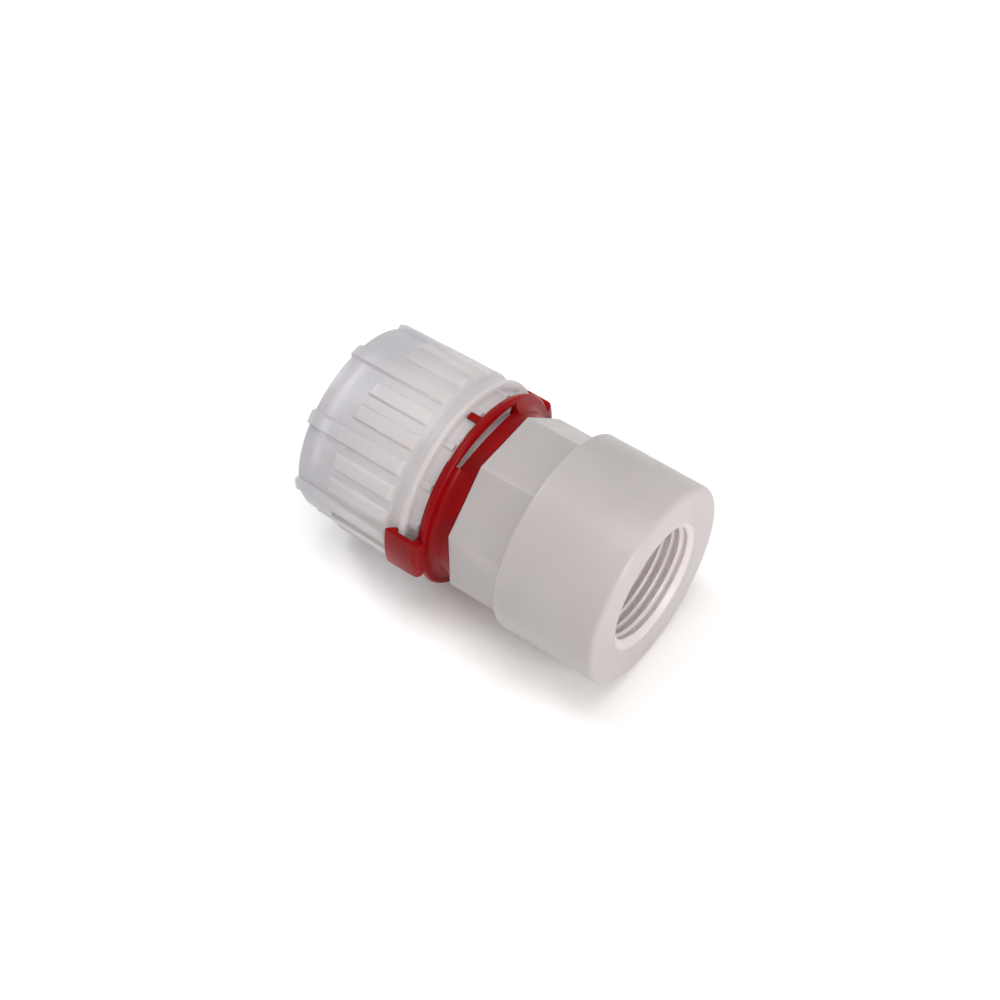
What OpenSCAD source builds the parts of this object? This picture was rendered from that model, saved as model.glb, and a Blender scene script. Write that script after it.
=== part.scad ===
// Pipe union: a threaded socket body, a ribbed clamp nut and a ratchet lock ring.
// The fitting lies along X with its threaded mouth at +X; the origin is the centre of its length.
// Profiles are lists of [radius, x], with x counted from the mouth (0) towards the nut (negative).

/* [Socket body] */
// Outside diameter of the round socket
socket_d = 54; // [53:0.5:56]
// Length of the round socket
socket_len = 29; // [26:0.5:34]
// Radius on the rim of the mouth
mouth_edge_r = 1.6; // [0.5:0.1:2]
// Width across the octagon's flats
flats_w = 46; // [45:0.5:47]
// Length of the octagon
flats_len = 16.1; // [14:0.1:20]

/* [Female thread] */
// Crest diameter of the female thread, taken as a plain bore
female_crest_d = 30.3; // [26:0.1:31]
// Length of the threaded bore
female_len = 20; // [16:0.5:22]
// Diameter of the countersink at the mouth
countersink_d = 35; // [32:0.5:37]
// Depth of the countersink
countersink_depth = 1.2; // [0.8:0.1:2]
// Diameter of the waterway behind the thread
waterway_d = 26; // [20:0.5:28]

/* [Pipe side] */
// Diameter of the pipe seat in the body, for a 32 mm pipe
pipe_seat_d = 32.5; // [32.3:0.1:32.7]
// Diameter at the crests of the clamp thread on the spigot
spigot_d = 42.4; // [42.2:0.1:42.5]
// Pitch of the clamp thread
clamp_pitch = 4; // [3:0.5:5]

/* [Clamp nut] */
// Diameter of the barrel where its ribs start
barrel_d = 52.6; // [52:0.1:52.8]
// Diameter of the barrel at its far rim
barrel_far_d = 51.2; // [50.6:0.1:51.6]
// Diameter of the shallow groove behind the flange
groove_d = 51.6; // [51:0.1:52]
// Diameter over the ribs where they start
rib_tip_d = 54.2; // [53.6:0.1:54.4]
// Diameter over the ribs at the far rim
rib_far_d = 53.2; // [52.6:0.1:54]
// Diameter of the flange
flange_d = 54.6; // [54:0.1:55]
// Bore of the nut over the clamp thread
nut_bore_d = 43; // [42.9:0.1:43.4]
// Number of long ribs; two short ones stand between each pair
long_ribs = 8; // [6:1:10]
// Width of a rib
rib_w = 4; // [3:0.1:4.4]
// Number of ratchet teeth
teeth = 14; // [10:2:16]

/* [Lock ring] */
// Diameter of the rim at its rear edge
rim_rear_d = 51.8; // [51.4:0.1:52.4]
// Diameter of the rim at its front edge
rim_front_d = 53.2; // [52.6:0.1:53.6]
// Diameter of the hub that meets the octagon
hub_d = 45.8; // [45.6:0.1:46]
// Half angle of the slot behind each spring bridge
slot_half = 29.5; // [20:0.5:32]
// Half angle of a clip arm
arm_half = 12.5; // [10:0.5:18]
// Outside diameter over the clip arms
arms_d = 58; // [57.6:0.1:59]

/* [Hidden] */
$fn = 96;
eps = 0.01;

total_len = 90.5;
gap = 0.3;

// Places along X, counted from the mouth
flats_rear_x = -socket_len - flats_len;
ring_front_x = flats_rear_x - 0.1;
rim_face_x = flats_rear_x - 5.2;
rim_front_x = rim_face_x - 0.6;
web_rear_x = rim_face_x - 1;
rim_rear_x = rim_face_x - 2.5;
skirt_front_x = web_rear_x - gap;
tooth_front_x = rim_rear_x - 0.5;
flange_front_x = rim_rear_x - 3.35;
flange_rear_x = flange_front_x - 1.3;
rib_near_x = flange_front_x - 5.6;
barrel_far_x = -total_len + 0.3;
short_rib_far_x = barrel_far_x + 10.1;
spigot_end_x = flats_rear_x - 27;
pipe_stop_x = flats_rear_x - 2.4;
seal_seat_x = spigot_end_x + 6;

// Radii
mouth_r = socket_d / 2;
waterway_r = waterway_d / 2;
pipe_seat_r = pipe_seat_d / 2;
seal_seat_r = pipe_seat_r + 2.6;
spigot_r = spigot_d / 2;
neck_r = spigot_r - 0.2;
thread_root_r = spigot_r - 1.3;
nut_bore_r = nut_bore_d / 2;
barrel_r = barrel_d / 2;
barrel_far_r = barrel_far_d / 2;
flange_r = flange_d / 2;
groove_r = groove_d / 2;
rib_tip_r = rib_tip_d / 2;
skirt_r = 23.4;
tooth_root_r = 24.6;
tooth_tip_r = 26;
pipe_entry_r = pipe_seat_r + 0.6;
ring_bore_r = spigot_r + gap;
bridge_in_r = 25.5;
bridge_mid_r = 24;
rim_fillet_r = 25;
arm_out_r = arms_d / 2;
arm_in_r = flange_r + gap;

// Keys that stop the lock ring turning on the neck
keys = 4;
key_r = spigot_r + 0.7;
key_w = 5;
key_len = 5.2;
key_play = 0.25;

// Points on an arc round [cr, cx] from angle a0 to a1, in radius and x
function arc(cr, cx, r, a0, a1, steps = 6) =
    [for (i = [0 : steps]) let (a = a0 + (a1 - a0) * i / steps) [cr + r * cos(a), cx + r * sin(a)]];

// A profile turned round X, whole or over part of a turn
module lathe(profile, span = 360)
    translate([total_len / 2, 0, 0])
        rotate([0, 90, 0])
            rotate_extrude(angle = span)
                polygon(profile);

// A profile turned over centre - half to centre + half, with angles from +Z towards +Y
module sector(profile, centre, half)
    at_clock(centre + half - 180)
        lathe(profile, 2 * half);

// Turns its children round X, from +Z towards +Y
module at_clock(angle)
    rotate([-angle, 0, 0])
        children();

// A plain tube round X between two places
module tube(r_out, r_in, x_from, x_to)
    lathe([[r_in, x_from], [r_out, x_from], [r_out, x_to], [r_in, x_to]]);

// A solid cylinder round X between two places
module rod(r, x_from, x_to, sides = $fn)
    translate([total_len / 2 + x_to, 0, 0])
        rotate([0, 90, 0])
            cylinder(h = x_from - x_to, r = r, $fn = sides);

// A flat plate in a plane through X, drawn as [x, radius] and given a width
module fin(outline, width)
    translate([total_len / 2, 0, 0])
        rotate([90, 0, 0])
            linear_extrude(width, center = true)
                polygon(outline);

// One radial key of the neck, or the space for it
module key(r_out, width, length)
    fin([[ring_front_x + 0.1 + eps, thread_root_r], [flats_rear_x - length, thread_root_r],
         [flats_rear_x - length, r_out], [ring_front_x + 0.1 + eps, r_out]], width);

// Rings that stand for the clamp thread on the spigot
module clamp_thread() {
    crest = clamp_pitch * 0.3;
    flank = clamp_pitch * 0.2;
    for (x = [spigot_end_x + 1.5 : clamp_pitch : spigot_end_x + 14])
        lathe([[thread_root_r - 0.5, x], [thread_root_r, x], [spigot_r, x + flank],
               [spigot_r, x + flank + crest], [thread_root_r, x + 2 * flank + crest],
               [thread_root_r - 0.5, x + 2 * flank + crest]]);
}

module fitting_body() color("gainsboro") {
    socket_rear_x = -socket_len;
    flats_r = flats_w / 2 / cos(180 / 8);
    difference() {
        union() {
            lathe(concat([[0, 0]],
                         arc(mouth_r - mouth_edge_r, -mouth_edge_r, mouth_edge_r, 90, 0),
                         [[mouth_r, socket_rear_x + 0.5], [mouth_r - 0.5, socket_rear_x],
                          [0, socket_rear_x]]));
            at_clock(180 / 8)
                rod(flats_r, socket_rear_x + eps, flats_rear_x, 8);
            rod(neck_r, flats_rear_x + eps, spigot_end_x + 16);
            rod(thread_root_r, flats_rear_x, spigot_end_x);
            clamp_thread();
            for (i = [0 : keys - 1])
                at_clock(45 + i * 360 / keys)
                    key(key_r, key_w, key_len);
        }
        rod(female_crest_d / 2, 1, -female_len);
        lathe([[0, 1], [countersink_d / 2 + 1, 1], [countersink_d / 2, 0],
               [female_crest_d / 2, -countersink_depth], [0, -countersink_depth]]);
        rod(waterway_r, -female_len + 1, pipe_stop_x - 1);
        rod(pipe_seat_r, pipe_stop_x, spigot_end_x - 1);
        rod(seal_seat_r, seal_seat_x, spigot_end_x - 1);
    }
}

// Share of the way from the ribs' start to the far rim
function way_along(x) = (x - rib_near_x) / (-total_len - rib_near_x);

// A long or a short rib, from near the flange to far_x
module rib(far_x, far_slope) {
    root_r = barrel_far_r - 0.6;
    far_tip_r = rib_tip_r + (rib_far_d / 2 - rib_tip_r) * way_along(far_x);
    far_base_r = barrel_r + (barrel_far_r - barrel_r) * way_along(far_x) + 0.1;
    fin([[rib_near_x, root_r], [rib_near_x, barrel_r], [rib_near_x - 0.7, rib_tip_r],
         [far_x + far_slope, far_tip_r], [far_x, far_base_r], [far_x, root_r]], rib_w);
}

// One ratchet tooth in front of the flange
module tooth() {
    tip_w = 1.5;
    root_w = 2.4;
    translate([total_len / 2 + flange_front_x - 0.2, 0, 0])
        rotate([90, 0, 90])
            linear_extrude(tooth_front_x - flange_front_x + 0.2)
                polygon([[-root_w / 2, tooth_root_r - 0.5], [root_w / 2, tooth_root_r - 0.5],
                         [tip_w / 2, tooth_tip_r], [-tip_w / 2, tooth_tip_r]]);
}

module clamp_nut() color("lavender") {
    cone_near_x = spigot_end_x - 3.6;
    cone_far_x = barrel_far_x + 3;
    flare_r = 1.2;
    rib_pitch = 360 / (3 * long_ribs);
    difference() {
        union() {
            lathe(concat([[skirt_r - 3, skirt_front_x], [skirt_r - 0.3, skirt_front_x],
                          [skirt_r, skirt_front_x - 0.3], [skirt_r, tooth_front_x + 0.2],
                          [tooth_root_r - 0.3, tooth_front_x + 0.2],
                          [tooth_root_r, tooth_front_x - 0.1], [tooth_root_r, flange_front_x],
                          [flange_r - 0.3, flange_front_x], [flange_r, flange_front_x - 0.3],
                          [flange_r, flange_rear_x]],
                         arc(groove_r + flare_r, flange_rear_x - flare_r, flare_r, 90, 180),
                         [[groove_r, rib_near_x + 1.4], [barrel_r, rib_near_x],
                          [barrel_far_r, barrel_far_x + 0.5], [barrel_far_r - 0.5, barrel_far_x],
                          [skirt_r - 3, barrel_far_x]]));
            rod(skirt_r - 2.9, skirt_front_x, barrel_far_x);
            for (i = [0 : 3 * long_ribs - 1])
                at_clock(i * rib_pitch)
                    if (i % 3 == 0)
                        rib(-total_len, 0.25);
                    else
                        rib(short_rib_far_x, 0.9);
            for (i = [0 : teeth - 1])
                at_clock(4.6 + i * 360 / teeth)
                    tooth();
        }
        rod(nut_bore_r, skirt_front_x + 1, cone_near_x);
        lathe([[0, cone_near_x + eps], [nut_bore_r, cone_near_x + eps], [nut_bore_r, cone_near_x],
               [pipe_entry_r + 1, cone_far_x], [0, cone_far_x]]);
        rod(pipe_entry_r, cone_far_x + 1, barrel_far_x - 3);
    }
}

// Half profile of the rim, from its rear edge to its front face and in to in_r
function rim_profile(in_r) =
    [[in_r, rim_rear_x], [rim_rear_d / 2, rim_rear_x], [rim_front_d / 2, rim_front_x],
     [rim_front_d / 2 - 0.5, rim_face_x], [in_r, rim_face_x]];

// The space under a spring bridge, which cuts the hub's rear edge to a shallow bow
module bridge_slot(side) {
    hub_cut_x = rim_face_x + 1.05;
    bow_r = 72;
    intersection() {
        sector([[ring_bore_r - 1, rim_rear_x - 1], [ring_bore_r - 1, hub_cut_x + 1],
                [bridge_in_r, hub_cut_x + 1], [bridge_in_r, rim_rear_x - 1]],
               side, slot_half - eps);
        at_clock(side)
            translate([total_len / 2 + hub_cut_x - bow_r, 0, 0])
                cylinder(h = bridge_in_r + 1, r = bow_r);
    }
}

// One hooked arm that reaches back over the nut's flange
module clip_arm(centre) {
    hook_face_x = flange_rear_x - gap;
    hook_rear_x = hook_face_x - 3.2;
    hook_tip_r = arm_in_r - 1.2;
    corner_r = 2;
    sector(concat([[bridge_in_r, rim_face_x]],
                  arc(arm_out_r - corner_r, rim_face_x - corner_r, corner_r, 90, 0),
                  [[arm_out_r, hook_rear_x + 0.4], [arm_out_r - 0.4, hook_rear_x],
                   [hook_tip_r, hook_face_x - 1.1], [hook_tip_r, hook_face_x],
                   [arm_in_r, hook_face_x], [arm_in_r, rim_rear_x], [bridge_in_r, rim_rear_x]]),
           centre, arm_half);
}

module lock_ring() color("firebrick") {
    hub_r = hub_d / 2;
    fillet_r = rim_fillet_r - hub_r;
    rim_half = 90 - slot_half;
    difference() {
        union() {
            tube(hub_r, ring_bore_r, ring_front_x, web_rear_x);
            for (side = [-90, 90]) {
                sector(concat([[hub_r - 0.5, rim_face_x + fillet_r]],
                              arc(hub_r + fillet_r, rim_face_x + fillet_r, fillet_r, 180, 270),
                              [[bridge_in_r + eps, rim_face_x], [bridge_in_r + eps, web_rear_x],
                               [hub_r - 0.5, web_rear_x]]),
                       side, rim_half);
                sector(rim_profile(bridge_in_r), side, rim_half);
                clip_arm(side);
            }
        }
        for (side = [0, 180])
            bridge_slot(side);
        for (i = [0 : keys - 1])
            at_clock(45 + i * 360 / keys)
                key(key_r + key_play, key_w + 2 * key_play, key_len + 2);
    }
}

module ratchet_tongues() color("crimson") {
    tongue_half = 2.2;
    tongue_tip_x = flange_front_x + 0.6;
    tongue_in_r = tooth_root_r + gap;
    tongue_out_r = bridge_in_r + 0.15;
    bridge_end_r = bridge_in_r - 0.5;
    end_y = bridge_end_r * sin(slot_half);
    rise = bridge_mid_r - bridge_end_r * cos(slot_half);
    inside_r = (end_y * end_y + rise * rise) / (2 * rise);
    for (side = [0, 180])
        difference() {
            union() {
                sector(rim_profile(bridge_mid_r - 0.5), side, slot_half);
                sector([[tongue_in_r, tongue_tip_x], [tongue_out_r, tongue_tip_x],
                        [tongue_out_r, rim_rear_x + 1], [tongue_in_r, rim_rear_x + 1]],
                       side, tongue_half);
            }
            at_clock(side)
                translate([total_len / 2 + rim_face_x + 1, 0, bridge_mid_r - inside_r])
                    rotate([0, -90, 0])
                        cylinder(h = rim_face_x - rim_rear_x + 2, r = inside_r);
        }
}

module grip_ring() color("aliceblue") {
    near_x = spigot_end_x - 4.3;
    far_x = barrel_far_x + 3.6;
    split_half = 12;
    grip_r = pipe_seat_r + 0.3;
    serration = 2;
    slope = (nut_bore_r - pipe_entry_r - 1) / (spigot_end_x - 3.6 - barrel_far_x - 3);
    outer = function(x) pipe_entry_r + 1 + slope * (x - barrel_far_x - 3) - 2 * gap;
    steps = floor((near_x - far_x - 1) / serration);
    sector(concat([[outer(near_x), near_x], [outer(far_x), far_x], [grip_r, far_x]],
                  [for (i = [0 : steps - 1]) each [[grip_r, far_x + 0.5 + i * serration],
                                                   [grip_r + 0.6, far_x + 0.5 + i * serration],
                                                   [grip_r, far_x + 0.5 + (i + 0.9) * serration]]],
                  [[grip_r, near_x]]),
           0, 180 - split_half);
}

module pressing_bush() color("white") {
    nose_x = spigot_end_x + 2.2;
    bush_r = pipe_seat_r + 0.2;
    lathe([[bush_r, nose_x], [seal_seat_r - 0.1, nose_x], [seal_seat_r - 0.1, spigot_end_x - 0.1],
           [nut_bore_r - 0.5, spigot_end_x - 0.1], [nut_bore_r - 0.5, spigot_end_x - 3.1],
           [bush_r, spigot_end_x - 3.1]]);
}

module pipe_seal() color("dimgray") {
    seal_r = (seal_seat_r - pipe_seat_r - 0.2) / 2;
    lathe(arc(pipe_seat_r + 0.1 + seal_r, seal_seat_x - 0.1 - seal_r, seal_r, 0, 345, 23));
}

fitting_body();
clamp_nut();
lock_ring();
ratchet_tongues();
grip_ring();
pressing_bush();
pipe_seal();
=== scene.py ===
"""Looks of the pipe union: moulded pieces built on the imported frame.

Profiles are drawn in millimetres as (radius, x), with x counted from the threaded mouth (0) towards
the nut (negative). Clock angles run from +Z towards +Y. Everything is placed in metres.
"""

import math

import bmesh
import bpy
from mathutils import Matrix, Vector


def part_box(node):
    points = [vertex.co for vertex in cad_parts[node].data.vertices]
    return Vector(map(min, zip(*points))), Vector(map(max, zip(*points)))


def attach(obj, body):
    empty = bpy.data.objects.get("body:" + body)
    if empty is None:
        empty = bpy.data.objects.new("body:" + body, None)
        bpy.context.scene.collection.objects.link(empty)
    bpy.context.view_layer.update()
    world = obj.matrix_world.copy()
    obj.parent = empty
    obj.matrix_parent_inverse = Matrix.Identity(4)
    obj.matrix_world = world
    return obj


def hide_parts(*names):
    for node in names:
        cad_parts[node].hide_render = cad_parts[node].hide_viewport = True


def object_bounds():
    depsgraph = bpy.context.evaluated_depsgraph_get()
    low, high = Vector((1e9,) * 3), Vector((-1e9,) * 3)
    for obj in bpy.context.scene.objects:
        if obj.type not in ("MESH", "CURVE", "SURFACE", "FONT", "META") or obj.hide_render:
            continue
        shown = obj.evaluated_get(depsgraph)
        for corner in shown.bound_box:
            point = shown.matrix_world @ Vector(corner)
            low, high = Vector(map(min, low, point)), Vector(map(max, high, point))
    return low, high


MM = 0.001
TURN = 2 * math.pi
WELD = 2e-6
CORNER_STEPS = 4
SHARP_ANGLE = 35

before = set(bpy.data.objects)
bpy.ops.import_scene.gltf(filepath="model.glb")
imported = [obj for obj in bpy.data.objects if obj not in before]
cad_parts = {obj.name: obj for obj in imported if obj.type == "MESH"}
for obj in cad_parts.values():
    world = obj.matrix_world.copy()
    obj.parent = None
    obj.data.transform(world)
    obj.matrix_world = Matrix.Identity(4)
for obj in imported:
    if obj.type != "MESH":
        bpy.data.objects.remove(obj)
cad_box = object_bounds()
mouth_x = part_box("fitting_body")[1].x


# ---------------------------------------------------------------- sizes, in millimetres

GAP = 0.3

# Socket body
SOCKET_R = 27.0
SOCKET_REAR = -29.0
FLATS_R = 23.0
FLATS_REAR = -45.1
FLATS = 8
COUNTERSINK_R = 17.5
COUNTERSINK_STEP = 0.7
FEMALE_CREST_R = 15.15
FEMALE_ROOT_R = 16.6
FEMALE_PITCH = 2.309
FEMALE_END = -20.0
WATERWAY_R = 13.0
PIPE_SEAT_R = 16.25
PIPE_STOP = -47.5
SPIGOT_END = -72.1
SEAL_SEAT_R = 18.85
SEAL_SEAT = -66.1
NECK_R = 21.0
NECK_END = -56.1
CLAMP_CREST_R = 21.2
CLAMP_ROOT_R = 19.9
CLAMP_PITCH = 4.0
CLAMP_THREAD_LEAD = 1.0
CLAMP_THREAD_TAIL = 1.2

# Half of a thread's crest and one of its flanks, as shares of its pitch
CREST_SHARE = 0.07
FLANK_SHARE = 0.33

# Keys on the neck that stop the lock ring turning
KEYS = 4
KEY_CLOCK = TURN / 8
KEY_R = 21.9
KEY_HALF_W = 2.5
KEY_LEN = 5.2
KEY_PLAY = 0.25
KEY_SOFT = 0.2

# Lock ring
RING_FRONT = -45.2
RIM_FACE = -50.3
RIM_FRONT = -50.9
WEB_REAR = -51.3
RIM_REAR = -52.8
RIM_FRONT_R = 26.6
RIM_REAR_R = 25.9
RING_BORE_R = 21.5
HUB_R = 22.9
BRIDGE_IN_R = 25.5
BRIDGE_END_R = 25.0
BRIDGE_MID_R = 24.0
HUB_CUT = -49.25
HUB_BOW_R = 72.0
FILLET_R = 25.0
SLOT_HALF = 29.5
ARM_HALF = 12.5
ARM_OUT_R = 29.0
ARM_IN_R = 27.6
ARM_INSET = 0.1
HOOK_LEN = 3.2
HOOK_SLOPE = 1.1
HOOK_DEPTH = 1.2
TONGUE_HALF = 2.2
TONGUE_SHORT = 0.6
TONGUE_BITE = 0.15

# Clamp nut
SKIRT_FRONT = -51.6
SKIRT_R = 23.4
TOOTH_FRONT = -53.3
TOOTH_ROOT_R = 24.6
TOOTH_TIP_R = 25.5
TEETH = 14
TOOTH_CLOCK = 4.6
TOOTH_TOP_HALF = 0.75
TOOTH_FOOT_HALF = 1.2
FLANGE_FRONT = -56.15
FLANGE_REAR = -57.45
FLANGE_R = 27.3
GROOVE_R = 25.8
BARREL_R = 26.3
BARREL_FAR_R = 25.6
BARREL_FAR = -90.2
RIB_NEAR = -61.75
SHORT_RIB_FAR = -80.1
RIB_TIP_R = 27.1
RIB_FAR_R = 26.6
RIBS = 24
LONG_EVERY = 3
RIB_HALF_W = 2.0
RIB_TOP_INSET = 0.35
RIB_FOOT_SPREAD = 0.25
TOTAL_LEN = 90.5
NUT_BORE_R = 21.5
CONE_NEAR = -75.7
CONE_FAR = -87.2
PIPE_ENTRY_R = 16.85


# ---------------------------------------------------------------- camera, light and floor

VIEW_AZIMUTH = 36.2
VIEW_ELEVATION = 51.95
CAMERA_PLACE = (0.18977, -0.26092, 0.41221)
CAMERA_LENS = 75.97


def make_camera():
    """The photographed view: a long lens from the mouth's side, above the fitting."""
    data = bpy.data.cameras.new("camera")
    data.lens = CAMERA_LENS
    data.clip_start = 0.01
    data.clip_end = 50
    camera = bpy.data.objects.new("camera", data)
    camera.location = CAMERA_PLACE
    camera.rotation_euler = (math.radians(90 - VIEW_ELEVATION), 0, math.radians(VIEW_AZIMUTH))
    bpy.context.scene.collection.objects.link(camera)
    bpy.context.scene.camera = camera


def make_world(strength):
    """Even white light from all round."""
    world = bpy.data.worlds.new("studio")
    world.use_nodes = True
    background = world.node_tree.nodes["Background"]
    background.inputs["Color"].default_value = (1.0, 0.995, 0.99, 1)
    background.inputs["Strength"].default_value = strength
    bpy.context.scene.world = world


def softbox(name, place, size, power, colour=(1, 1, 1)):
    """A square soft light aimed at the middle of the fitting."""
    data = bpy.data.lights.new(name, "AREA")
    data.size = size
    data.energy = power
    data.color = colour
    lamp = bpy.data.objects.new(name, data)
    lamp.location = place
    lamp.rotation_euler = (-Vector(place)).to_track_quat("-Z", "Y").to_euler()
    bpy.context.scene.collection.objects.link(lamp)


def make_floor(size):
    """A plain pale sheet under the fitting."""
    mesh = bpy.data.meshes.new("floor")
    low = cad_box[0].z - 0.0002
    corners = [(-size, -size, low), (size, -size, low), (size, size, low), (-size, size, low)]
    mesh.from_pydata(corners, [], [(0, 1, 2, 3)])
    floor = bpy.data.objects.new("floor", mesh)
    bpy.context.scene.collection.objects.link(floor)
    material = bpy.data.materials.new("floor")
    material.use_nodes = True
    shader = material.node_tree.nodes["Principled BSDF"]
    shader.inputs["Base Color"].default_value = (0.96, 0.955, 0.95, 1)
    shader.inputs["Roughness"].default_value = 0.9
    mesh.materials.append(material)


make_camera()
make_world(0.64)
softbox("overhead", (0.05, -0.05, 0.90), 0.5, 2.7)
softbox("mouth_fill", (0.80, -0.12, 0.30), 0.3, 4.0, (1, 0.92, 0.91))
softbox("rim_light", (-0.75, 0.00, 0.68), 0.25, 2.8)
make_floor(3.0)
bpy.context.scene.view_settings.view_transform = "Standard"


# ---------------------------------------------------------------- materials

def ramp(nodes, stops):
    """A colour ramp with the given (place, colour) stops."""
    node = nodes.new("ShaderNodeValToRGB")
    elements = node.color_ramp.elements
    while len(elements) < len(stops):
        elements.new(0.5)
    for element, (place, colour) in zip(elements, stops):
        element.position = place
        element.color = (*colour, 1)
    return node


def noise(tree, place, scale, detail=2.0):
    """A noise pattern over the object, with a scale in turns per metre."""
    node = tree.nodes.new("ShaderNodeTexNoise")
    node.inputs["Scale"].default_value = scale
    node.inputs["Detail"].default_value = detail
    tree.links.new(place, node.inputs["Vector"])
    return node


def tinted(tree, colour, value, tint, start, end):
    """Multiplies a colour by a tint that grows as a value goes from start to end."""
    share = tree.nodes.new("ShaderNodeMapRange")
    share.interpolation_type = "SMOOTHSTEP"
    share.inputs["From Min"].default_value = start
    share.inputs["From Max"].default_value = end
    tree.links.new(value, share.inputs["Value"])
    mix = tree.nodes.new("ShaderNodeMix")
    mix.data_type = "RGBA"
    mix.blend_type = "MULTIPLY"
    tree.links.new(share.outputs["Result"], mix.inputs["Factor"])
    tree.links.new(colour, mix.inputs[6])
    mix.inputs[7].default_value = (*tint, 1)
    return mix.outputs[2]


def plastic(name, shades, gloss, subsurface=0.0, see_through=0.0, grain=0.02, shine=0.5,
            along=None, inwards=None):
    """Moulded plastic: drifting shade, uneven gloss and a fine moulded grain.

    shades are the darkest and lightest colours, gloss the lowest and highest roughness. along is a
    (tint, x from, x to) that grows along the fitting, inwards a (tint, radius from, radius to) that
    grows towards its axis.
    """
    material = bpy.data.materials.new(name)
    material.use_nodes = True
    tree = material.node_tree
    nodes, links = tree.nodes, tree.links
    shader = nodes["Principled BSDF"]
    place = nodes.new("ShaderNodeTexCoord").outputs["Object"]

    drift = noise(tree, place, 45, 3)
    shade = ramp(nodes, [(0.3, shades[0]), (0.7, shades[1])])
    links.new(drift.outputs["Fac"], shade.inputs["Fac"])
    colour = shade.outputs["Color"]
    if along:
        split = nodes.new("ShaderNodeSeparateXYZ")
        links.new(place, split.inputs["Vector"])
        colour = tinted(tree, colour, split.outputs["X"], *along)
    if inwards:
        across = nodes.new("ShaderNodeVectorMath")
        across.operation = "MULTIPLY"
        across.inputs[1].default_value = (0, 1, 1)
        links.new(place, across.inputs[0])
        reach = nodes.new("ShaderNodeVectorMath")
        reach.operation = "LENGTH"
        links.new(across.outputs["Vector"], reach.inputs[0])
        colour = tinted(tree, colour, reach.outputs["Value"], *inwards)
    links.new(colour, shader.inputs["Base Color"])

    rubbed = noise(tree, place, 260, 4)
    sheen = nodes.new("ShaderNodeMapRange")
    sheen.inputs["From Min"].default_value = 0.3
    sheen.inputs["From Max"].default_value = 0.7
    sheen.inputs["To Min"].default_value = gloss[0]
    sheen.inputs["To Max"].default_value = gloss[1]
    links.new(rubbed.outputs["Fac"], sheen.inputs["Value"])
    links.new(sheen.outputs["Result"], shader.inputs["Roughness"])

    fine = noise(tree, place, 2600, 2)
    bump = nodes.new("ShaderNodeBump")
    bump.inputs["Strength"].default_value = grain
    bump.inputs["Distance"].default_value = 0.0004
    links.new(fine.outputs["Fac"], bump.inputs["Height"])
    links.new(bump.outputs["Normal"], shader.inputs["Normal"])

    shader.inputs["IOR"].default_value = 1.49
    shader.inputs["Specular IOR Level"].default_value = shine
    shader.inputs["Subsurface Weight"].default_value = subsurface
    shader.inputs["Subsurface Radius"].default_value = (1.0, 0.8, 0.7)
    shader.inputs["Subsurface Scale"].default_value = 0.004
    shader.inputs["Transmission Weight"].default_value = see_through
    return material


# The paler bore, neck and tooth band stand in for light that comes through the real plastic.
BODY = plastic("body_plastic", ((0.57, 0.54, 0.535), (0.61, 0.58, 0.575)), (0.32, 0.42), 0.4, 0.4,
               along=((1.5, 1.5, 1.5), -0.0002, -0.0012),
               inwards=((1.6, 1.58, 1.58), 0.0178, 0.0165))
NUT = plastic("nut_plastic", ((0.78, 0.75, 0.755), (0.84, 0.81, 0.815)), (0.30, 0.42), 0.4, 0.5,
              along=((0.84, 0.86, 0.90), -0.024, -0.040),
              inwards=((1.16, 1.14, 1.14), 0.0252, 0.0247))
RED = plastic("ring_plastic", ((0.19, 0.001, 0.002), (0.26, 0.002, 0.003)), (0.26, 0.36), 0.1,
              shine=0.1)
GRIP = plastic("grip_plastic", ((0.55, 0.56, 0.57), (0.62, 0.62, 0.62)), (0.30, 0.40), 0.2)
RUBBER = plastic("seal_rubber", ((0.012, 0.012, 0.013), (0.025, 0.025, 0.026)), (0.5, 0.65),
                 grain=0.1)


# ---------------------------------------------------------------- mesh building

def fillet(before, corner, after, radius, steps):
    """Points on the arc that rounds one corner of a profile."""
    a = Vector(before) - Vector(corner)
    b = Vector(after) - Vector(corner)
    half = a.angle(b) / 2
    reach = min(radius / math.tan(half), 0.48 * a.length, 0.48 * b.length)
    radius = reach * math.tan(half)
    inward = (a.normalized() + b.normalized()).normalized()
    centre = Vector(corner) + inward * radius / math.sin(half)
    start = Vector(corner) + a.normalized() * reach - centre
    end = Vector(corner) + b.normalized() * reach - centre
    sweep = start.angle(end)
    points = []
    for i in range(steps + 1):
        t = i / steps
        way = start * math.sin((1 - t) * sweep) + end * math.sin(t * sweep)
        points.append(tuple(centre + way / math.sin(sweep)))
    return points


def rounded(corners):
    """A closed profile of (radius, x, fillet, ...) corners as points with their corners rounded.

    Whatever follows the fillet in a corner is passed on to each of its points.
    """
    points = []
    count = len(corners)
    for i, (r, x, radius, *rest) in enumerate(corners):
        before, after = corners[i - 1][:2], corners[(i + 1) % count][:2]
        arc = fillet(before, (r, x), after, radius, CORNER_STEPS) if radius else [(r, x)]
        points += [(*p, *rest) for p in arc]
    return points


def placed(r, x, clock):
    """A point in the row frame from a radius, an x and a clock angle."""
    return (mouth_x + x * MM, r * MM * math.sin(clock), r * MM * math.cos(clock))


def loft(name, rows, clocks):
    """A closed solid swept round X. Each row gives (radius, x) at a clock angle.

    The last row joins the first. The first and last clock angles meet at a full turn.
    """
    bm = bmesh.new()
    grid = [[bm.verts.new(placed(*row(t), t)) for t in clocks] for row in rows]
    for near, far in zip(grid, grid[1:] + grid[:1]):
        for j in range(len(clocks) - 1):
            bm.faces.new((near[j], near[j + 1], far[j + 1], far[j]))
    return finished(name, bm)


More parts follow.
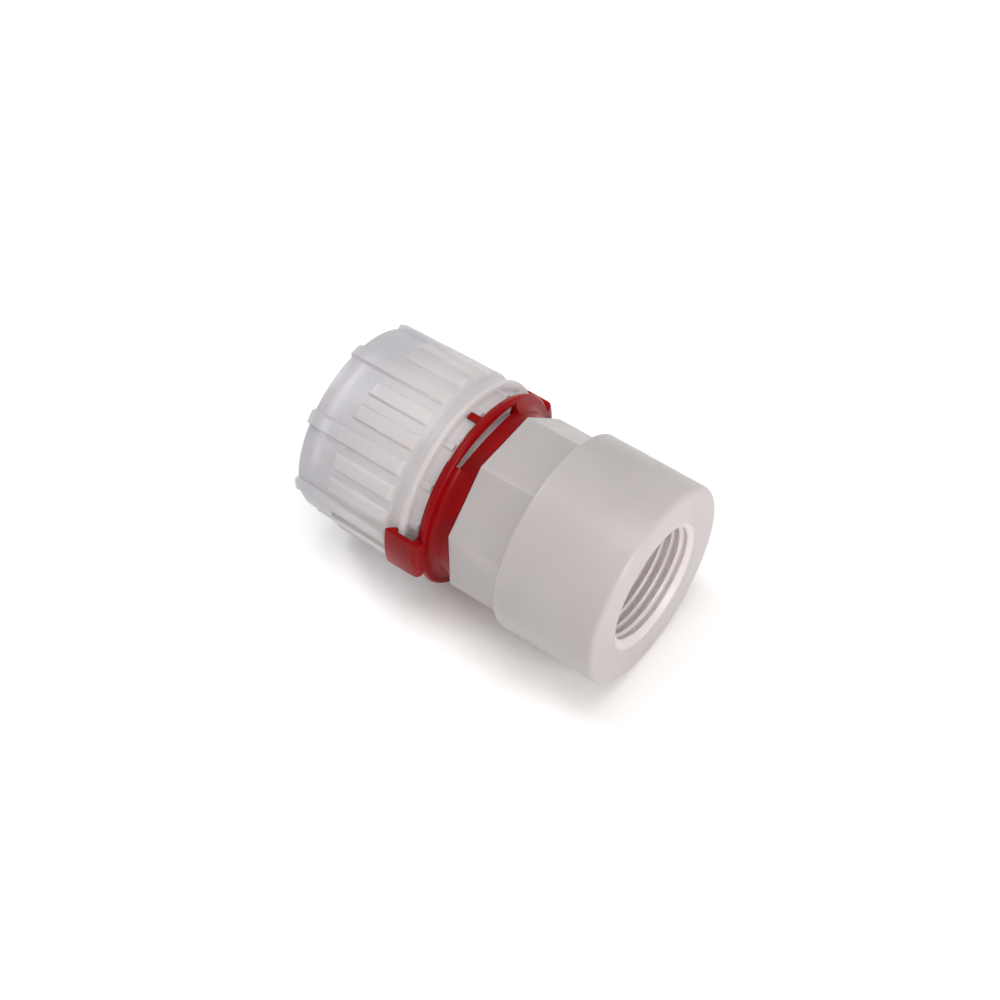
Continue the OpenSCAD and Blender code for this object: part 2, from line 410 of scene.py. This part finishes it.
def finished(name, bm):
    """Welds a mesh, drops its collapsed faces, turns its normals out and links it."""
    bmesh.ops.remove_doubles(bm, verts=bm.verts, dist=WELD)
    bmesh.ops.dissolve_degenerate(bm, edges=bm.edges, dist=WELD)
    bmesh.ops.recalc_face_normals(bm, faces=bm.faces)
    mesh = bpy.data.meshes.new(name)
    bm.to_mesh(mesh)
    bm.free()
    piece = bpy.data.objects.new(name, mesh)
    bpy.context.scene.collection.objects.link(piece)
    return piece


def smooth(piece):
    """Smooth shading with creases kept where faces meet at more than SHARP_ANGLE."""
    piece.data.shade_smooth()
    piece.data.set_sharp_from_angle(angle=math.radians(SHARP_ANGLE))


def even_clocks(count):
    """count steps of one full turn, with both ends."""
    return [TURN * i / count for i in range(count + 1)]


def clocks_round(centres, offsets, even):
    """Clock angles that follow a repeated feature closely, on top of an even spread."""
    found = {round(t, 6) for t in even_clocks(even)}
    for centre in centres:
        near = {t for t in found if abs(math.remainder(t - centre, TURN)) < max(offsets) + 1e-4}
        found -= near - {0.0, round(TURN, 6)}
        found |= {round((centre + o) % TURN, 6) for o in offsets}
    return sorted(found | {0.0, round(TURN, 6)})


def ramp_between(value, low, high):
    """0 at low, 1 at high and a smooth rise between."""
    t = min(max((value - low) / (high - low), 0), 1)
    return t * t * (3 - 2 * t)


def helix_rows(crest_r, root_r, pitch, x_from, x_to, fade, floor=None):
    """Rows of a right-hand thread from x_from down to x_to, which fades in and out at its ends.

    floor gives the smallest radius at an x, for a thread cut into by a countersink.
    """
    turns = math.ceil((x_from - x_to) / pitch) + 1
    phases = (0.0, 0.07, 0.12, 0.22, 0.32, 0.40, 0.45, 0.55, 0.60, 0.68, 0.78, 0.88)
    samples = len(phases)

    def depth(phase):
        """0 on the crest and 1 in the root."""
        off = abs(math.remainder(phase, 1.0))
        return min(max((off - CREST_SHARE) / FLANK_SHARE, 0), 1)

    def row(k):
        phase = phases[k % samples]
        start = x_from + pitch - (k // samples + phase) * pitch

        def at(clock):
            x = min(max(start - pitch * clock / TURN, x_to), x_from)
            held = ramp_between(x, x_to, x_to + fade) * ramp_between(-x, -x_from, -x_from + fade)
            r = crest_r + (root_r - crest_r) * depth(phase) * held
            if crest_r > root_r:
                r = root_r + (crest_r - root_r) * (1 - depth(phase)) * held
            if floor:
                r = max(r, floor(x))
            return r, x

        return at

    return [row(k) for k in range(samples * (turns + 1))]


# ---------------------------------------------------------------- socket body

def octagon(clock):
    """How far the octagon's outline lies from the axis, as a share of its flats' distance."""
    step = TURN / FLATS
    corner = abs(math.remainder(clock - step / 2, step))
    soft = 0.03
    centre = (1 - soft) / math.cos(step / 2)
    if centre * math.sin(corner) < soft * math.sin(step / 2 - 0.02):
        rise = math.sqrt(soft ** 2 - (centre * math.sin(corner)) ** 2)
        return centre * math.cos(corner) + rise
    return 1 / math.cos(step / 2 - corner)


def keyed(clock):
    """How far the keyed neck's outline lies from the axis, as a share of the neck's radius."""
    side = abs(math.remainder(clock - KEY_CLOCK, TURN / KEYS)) * KEY_R
    return 1 + (KEY_R / NECK_R - 1) * (1 - ramp_between(side, KEY_HALF_W - KEY_SOFT, KEY_HALF_W))


def body_rows():
    """The body's profile, from its mouth over the outside to the spigot and back down the bore."""
    key_end = FLATS_REAR - KEY_LEN
    thread_start = NECK_END - CLAMP_THREAD_LEAD
    thread_end = SPIGOT_END + CLAMP_THREAD_TAIL
    outside = [
        (COUNTERSINK_R, 0, 0.2), (SOCKET_R, 0, 1.6), (SOCKET_R, SOCKET_REAR, 0.8),
        (FLATS_R, SOCKET_REAR, 0.5, octagon), (FLATS_R, FLATS_REAR, 0.4, octagon),
        (NECK_R, FLATS_REAR, 0.3, keyed), (NECK_R, key_end + KEY_SOFT, 0, keyed),
        (NECK_R, key_end, 0),
        (NECK_R, NECK_END, 0.3), (CLAMP_ROOT_R, NECK_END, 0.3),
        (CLAMP_ROOT_R, thread_start, 0),
    ]
    inside = [
        (CLAMP_ROOT_R, thread_end, 0), (CLAMP_ROOT_R, SPIGOT_END, 0.5),
        (SEAL_SEAT_R, SPIGOT_END, 0.3), (SEAL_SEAT_R, SEAL_SEAT, 0.2),
        (PIPE_SEAT_R, SEAL_SEAT, 0.3), (PIPE_SEAT_R, PIPE_STOP, 0.3),
        (WATERWAY_R, PIPE_STOP, 0.4), (WATERWAY_R, FEMALE_END + 1, 0.5),
        (FEMALE_CREST_R, FEMALE_END + 1, 0.3), (FEMALE_CREST_R, FEMALE_END + 2, 0),
    ]

    def swept(points):
        return [lambda t, r=r, x=x, outline=outline: (r * outline[0](t) if outline else r, x)
                for r, x, *outline in points]

    def countersink(x):
        return FEMALE_ROOT_R + COUNTERSINK_STEP + x

    every = rounded(outside + inside)
    join = next(i for i, p in enumerate(every) if p[:2] == (CLAMP_ROOT_R, thread_end))
    male = helix_rows(CLAMP_CREST_R, CLAMP_ROOT_R, CLAMP_PITCH, thread_start, thread_end, 1.0)
    female = helix_rows(FEMALE_CREST_R, FEMALE_ROOT_R, FEMALE_PITCH, -0.3, FEMALE_END + 2, 2.0,
                        countersink)
    return swept(every[:join]) + male + swept(every[join:]) + female[::-1]


def make_body():
    step = TURN / FLATS
    corners = [step * (i + 0.5) for i in range(FLATS)]
    spread = [math.radians(a) for a in (-2.4, -1.6, -1.1, -0.55, 0, 0.55, 1.1, 1.6, 2.4)]
    clocks = clocks_round(corners, spread, 192)
    for i in range(KEYS):
        centre = KEY_CLOCK + i * TURN / KEYS
        for inset in (0.2, 0.14, 0.06, 0):
            side = (KEY_HALF_W - inset) / KEY_R
            clocks += [round(centre - side, 6), round(centre + side, 6)]
    body = loft("fitting_body_detail", body_rows(), sorted(clocks))
    smooth(body)
    body.data.materials.append(BODY)
    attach(body, "body")
    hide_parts("fitting_body")


# ---------------------------------------------------------------- clamp nut

def rib_share(clock, long_one):
    """1 on a long or a short rib, 0 beside it."""
    step = TURN / RIBS
    index = round(clock / step)
    if (index % LONG_EVERY == 0) != long_one:
        return 0
    side = abs(clock - index * step) * RIB_TIP_R
    return 1 - ramp_between(side, RIB_HALF_W - RIB_TOP_INSET, RIB_HALF_W + RIB_FOOT_SPREAD)


def tooth_share(clock):
    """1 on a ratchet tooth, 0 beside it."""
    step = TURN / TEETH
    side = abs(math.remainder(clock - math.radians(TOOTH_CLOCK), step)) * TOOTH_TIP_R
    return 1 - ramp_between(side, TOOTH_TOP_HALF, TOOTH_FOOT_HALF)


def nut_rows():
    """The nut's profile, from the skirt over the flange and ribs to the far rim and back inside."""
    rows = []

    def plain(points):
        rows.extend((lambda t, r=r, x=x: (r, x)) for r, x in points)

    def toothed(r, x, share):
        rows.append(lambda t: (r + (TOOTH_TIP_R - r) * share * tooth_share(t), x))

    def ribbed(x, long_share, short_share, drop=0.0, overhang=0.0):
        way = (x - RIB_NEAR) / (BARREL_FAR - RIB_NEAR)
        base = BARREL_R + (BARREL_FAR_R - BARREL_R) * way - drop
        tip = RIB_TIP_R + (RIB_FAR_R - RIB_TIP_R) * way

        def row(t):
            long_one = rib_share(t, True)
            high = max(long_share * long_one, short_share * rib_share(t, False))
            return base + (tip - base) * high, x - overhang * long_one

        rows.append(row)

    plain([(NUT_BORE_R, SKIRT_FRONT - 0.2), (NUT_BORE_R + 0.2, SKIRT_FRONT),
           (SKIRT_R - 0.3, SKIRT_FRONT), (SKIRT_R - 0.08, SKIRT_FRONT - 0.1),
           (SKIRT_R, SKIRT_FRONT - 0.3),
           (SKIRT_R, TOOTH_FRONT + 0.3), (SKIRT_R + 0.1, TOOTH_FRONT + 0.18),
           (TOOTH_ROOT_R - 0.4, TOOTH_FRONT + 0.16), (TOOTH_ROOT_R - 0.1, TOOTH_FRONT + 0.1)])
    for x, share in ((0.02, 0), (0, 0.3), (-0.02, 0.8), (-0.1, 0.93), (-0.3, 1)):
        toothed(TOOTH_ROOT_R, TOOTH_FRONT + x, share)
    toothed(TOOTH_ROOT_R, FLANGE_FRONT + 0.2, 1)
    toothed(TOOTH_ROOT_R + 0.06, FLANGE_FRONT + 0.06, 1)
    toothed(TOOTH_ROOT_R + 0.2, FLANGE_FRONT, 1)
    front = rounded([(TOOTH_ROOT_R + 0.2, FLANGE_FRONT, 0), (FLANGE_R, FLANGE_FRONT, 0.35),
                     (FLANGE_R, FLANGE_REAR, 0.25), (GROOVE_R + 0.9, FLANGE_REAR - 0.3, 0.5),
                     (GROOVE_R, FLANGE_REAR - 1.5, 0.9), (GROOVE_R, RIB_NEAR + 1.4, 0.6),
                     (BARREL_R, RIB_NEAR + 0.3, 0.4), (BARREL_R, RIB_NEAR, 0)])
    plain(front[1:-1])
    for x, share in ((0.25, 0), (0.05, 0.08), (-0.3, 0.5), (-0.65, 0.92), (-0.9, 1)):
        ribbed(RIB_NEAR + x, share, share)
    for i in range(1, 8):
        ribbed(RIB_NEAR - 0.9 + (SHORT_RIB_FAR + 0.9 - RIB_NEAR + 0.9) * i / 8, 1, 1)
    for x, share in ((0.9, 1), (0.65, 0.92), (0.3, 0.5), (0.0, 0.08), (-0.25, 0)):
        ribbed(SHORT_RIB_FAR + x, 1, share)
    for i in range(1, 5):
        ribbed(SHORT_RIB_FAR + (BARREL_FAR - SHORT_RIB_FAR) * i / 5, 1, 0)
    overhang = TOTAL_LEN + BARREL_FAR
    ribbed(BARREL_FAR + 0.5, 1, 0, 0, overhang)
    ribbed(BARREL_FAR + 0.15, 0.93, 0, 0.15, overhang)
    ribbed(BARREL_FAR, 0.75, 0, 0.5, overhang)
    ribbed(BARREL_FAR, 0, 0, 0.7, overhang)
    ribbed(BARREL_FAR, 0, 0, 0.8)
    inside = rounded([(BARREL_FAR_R - 0.9, BARREL_FAR, 0), (PIPE_ENTRY_R + 1.4, BARREL_FAR, 0.4),
                      (PIPE_ENTRY_R, BARREL_FAR + 1.2, 0.5), (PIPE_ENTRY_R, CONE_FAR, 0.3),
                      (PIPE_ENTRY_R + 1, CONE_FAR, 0.2), (NUT_BORE_R, CONE_NEAR, 0.3),
                      (NUT_BORE_R, SKIRT_FRONT - 0.2, 0)])
    plain(inside[:-1])
    return rows


def make_nut():
    step = TURN / RIBS
    ribs = [step * i for i in range(RIBS)]
    half = RIB_HALF_W / RIB_TIP_R
    soft = 0.1 / RIB_TIP_R
    beside = [half - 3.5 * soft, half - 2 * soft, half - soft, half, half + soft, half + 2.5 * soft]
    spread = [-o for o in beside[::-1]] + [0] + beside
    clocks = clocks_round(ribs, spread, 144)
    tooth_step = TURN / TEETH
    for i in range(TEETH):
        centre = math.radians(TOOTH_CLOCK) + i * tooth_step
        for o in (TOOTH_TOP_HALF, 0.86, 0.97, 1.08, TOOTH_FOOT_HALF):
            clocks.append(round((centre - o / TOOTH_TIP_R) % TURN, 6))
            clocks.append(round((centre + o / TOOTH_TIP_R) % TURN, 6))
    nut = loft("clamp_nut_detail", nut_rows(), sorted(set(clocks)))
    smooth(nut)
    nut.data.materials.append(NUT)
    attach(nut, "nut")
    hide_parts("clamp_nut")


# ---------------------------------------------------------------- lock ring

def sector(profile, centre, half, steps):
    """A closed solid swept over part of a turn, given in degrees.

    profile gives its points at an angle from the middle of the part, in radians.
    """
    bm = bmesh.new()
    grid = []
    for i in range(steps + 1):
        off = math.radians(half * (2 * i / steps - 1))
        clock = math.radians(centre) + off
        grid.append([bm.verts.new(placed(r, x, clock)) for r, x in profile(off)])
    for near, far in zip(grid, grid[1:]):
        for k in range(len(near)):
            bm.faces.new((near[k - 1], near[k], far[k], far[k - 1]))
    bm.faces.new(grid[0])
    bm.faces.new(grid[-1][::-1])
    return finished("sector", bm)


def combined(whole, operation, parts):
    """Adds parts to a solid or cuts them from it, one at a time, and uses them up."""
    for part in parts:
        step = whole.modifiers.new("step", "BOOLEAN")
        step.operation = operation
        step.solver = "EXACT"
        step.object = part
        graph = bpy.context.evaluated_depsgraph_get()
        mesh = bpy.data.meshes.new_from_object(whole.evaluated_get(graph))
        whole.modifiers.clear()
        whole.data = mesh
        bpy.data.objects.remove(part)


def bridge_inside(off):
    """Radius of a spring bridge's flatter inside, at an angle from its middle."""
    end_y = BRIDGE_END_R * math.sin(math.radians(SLOT_HALF))
    rise = BRIDGE_MID_R - BRIDGE_END_R * math.cos(math.radians(SLOT_HALF))
    radius = (end_y ** 2 + rise ** 2) / (2 * rise)
    centre = BRIDGE_MID_R - radius
    return centre * math.cos(off) + math.sqrt(radius ** 2 - (centre * math.sin(off)) ** 2)


def bowed_cut(off):
    """Outline of the slot under a bridge, whose front edge bows back towards its ends."""
    y = HUB_R * math.sin(off)
    front = HUB_CUT - HUB_BOW_R + math.sqrt(HUB_BOW_R ** 2 - y ** 2)
    return [(RING_BORE_R - 1, RIM_REAR - 1), (RING_BORE_R - 1, front), (BRIDGE_IN_R + 2, front),
            (BRIDGE_IN_R + 2, RIM_REAR - 1)]


def make_ring():
    bead = rounded([(FILLET_R + 0.05, RIM_FACE, 0), (RIM_FRONT_R - 0.5, RIM_FACE, 0.3),
                    (RIM_FRONT_R, RIM_FRONT, 0.4), (RIM_REAR_R, RIM_REAR, 0.25)])[1:]
    hub = [(RING_BORE_R, RING_FRONT), (HUB_R, RING_FRONT), (HUB_R, WEB_REAR),
           (RING_BORE_R, WEB_REAR)]
    scoop_r = FILLET_R - HUB_R
    scoop = [(FILLET_R - scoop_r * math.cos(a), RIM_FACE + scoop_r - scoop_r * math.sin(a))
             for a in (math.pi / 2 * i / 8 for i in range(9))]
    web = [(HUB_R - 0.5, RIM_FACE + scoop_r)] + scoop + bead
    web += [(BRIDGE_IN_R, RIM_REAR), (BRIDGE_IN_R, WEB_REAR), (HUB_R - 0.5, WEB_REAR)]
    hook_face = FLANGE_REAR - GAP
    hook_rear = hook_face - HOOK_LEN
    hook_tip = ARM_IN_R - HOOK_DEPTH
    arm_root = BRIDGE_IN_R + ARM_INSET
    arm = rounded([(arm_root, RIM_FACE - ARM_INSET, 0), (ARM_OUT_R, RIM_FACE - ARM_INSET, 2.0),
                   (ARM_OUT_R, hook_rear, 0.5), (hook_tip, hook_face - HOOK_SLOPE, 0.2),
                   (hook_tip, hook_face, 0.2), (ARM_IN_R, hook_face, 0.3),
                   (ARM_IN_R, RIM_REAR + ARM_INSET, 0.4), (arm_root, RIM_REAR + ARM_INSET, 0)])
    tongue_in = TOOTH_ROOT_R + GAP
    tongue_out = BRIDGE_IN_R + TONGUE_BITE
    tongue_tip = FLANGE_FRONT + TONGUE_SHORT
    tongue = [(tongue_in, tongue_tip), (tongue_out, tongue_tip), (tongue_out, RIM_REAR + 1),
              (tongue_in, RIM_REAR + 1)]

    key_r = KEY_R + KEY_PLAY
    key_way = [(RING_BORE_R - 1, RING_FRONT + 1), (key_r, RING_FRONT + 1), (key_r, WEB_REAR - 1),
               (RING_BORE_R - 1, WEB_REAR - 1)]
    key_half = math.degrees((KEY_HALF_W + KEY_PLAY) / KEY_R)

    def bridge(off):
        inside = bridge_inside(off)
        return [(inside, RIM_FACE)] + bead + [(inside, RIM_REAR)]

    ring = loft("lock_ring_detail", [lambda t, p=p: p for p in hub], even_clocks(180))
    rims = [sector(lambda off: web, side, 90 - SLOT_HALF, 60) for side in (-90, 90)]
    arms = [sector(lambda off: arm, side, ARM_HALF, 12) for side in (-90, 90)]
    slots = [sector(bowed_cut, side, SLOT_HALF, 30) for side in (0, 180)]
    first_key = math.degrees(KEY_CLOCK)
    slots += [sector(lambda off: key_way, first_key + i * 360 / KEYS, key_half, 4)
              for i in range(KEYS)]
    bridges = [sector(bridge, side, SLOT_HALF + 0.5, 30) for side in (0, 180)]
    tongues = [sector(lambda off: tongue, side, TONGUE_HALF, 4) for side in (0, 180)]
    combined(ring, "UNION", rims + arms)
    combined(ring, "DIFFERENCE", slots)
    combined(ring, "UNION", bridges + tongues)
    smooth(ring)
    ring.data.materials.clear()
    ring.data.materials.append(RED)
    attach(ring, "ring")
    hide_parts("lock_ring", "ratchet_tongues")


# ---------------------------------------------------------------- inner pieces

def finish_node(node, material):
    """Gives a CAD node that keeps its shape its own finish."""
    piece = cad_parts[node]
    piece.data.materials.clear()
    piece.data.materials.append(material)


make_body()
make_nut()
make_ring()
finish_node("grip_ring", GRIP)
finish_node("pressing_bush", GRIP)
finish_node("pipe_seal", RUBBER)

bpy.context.view_layer.update()
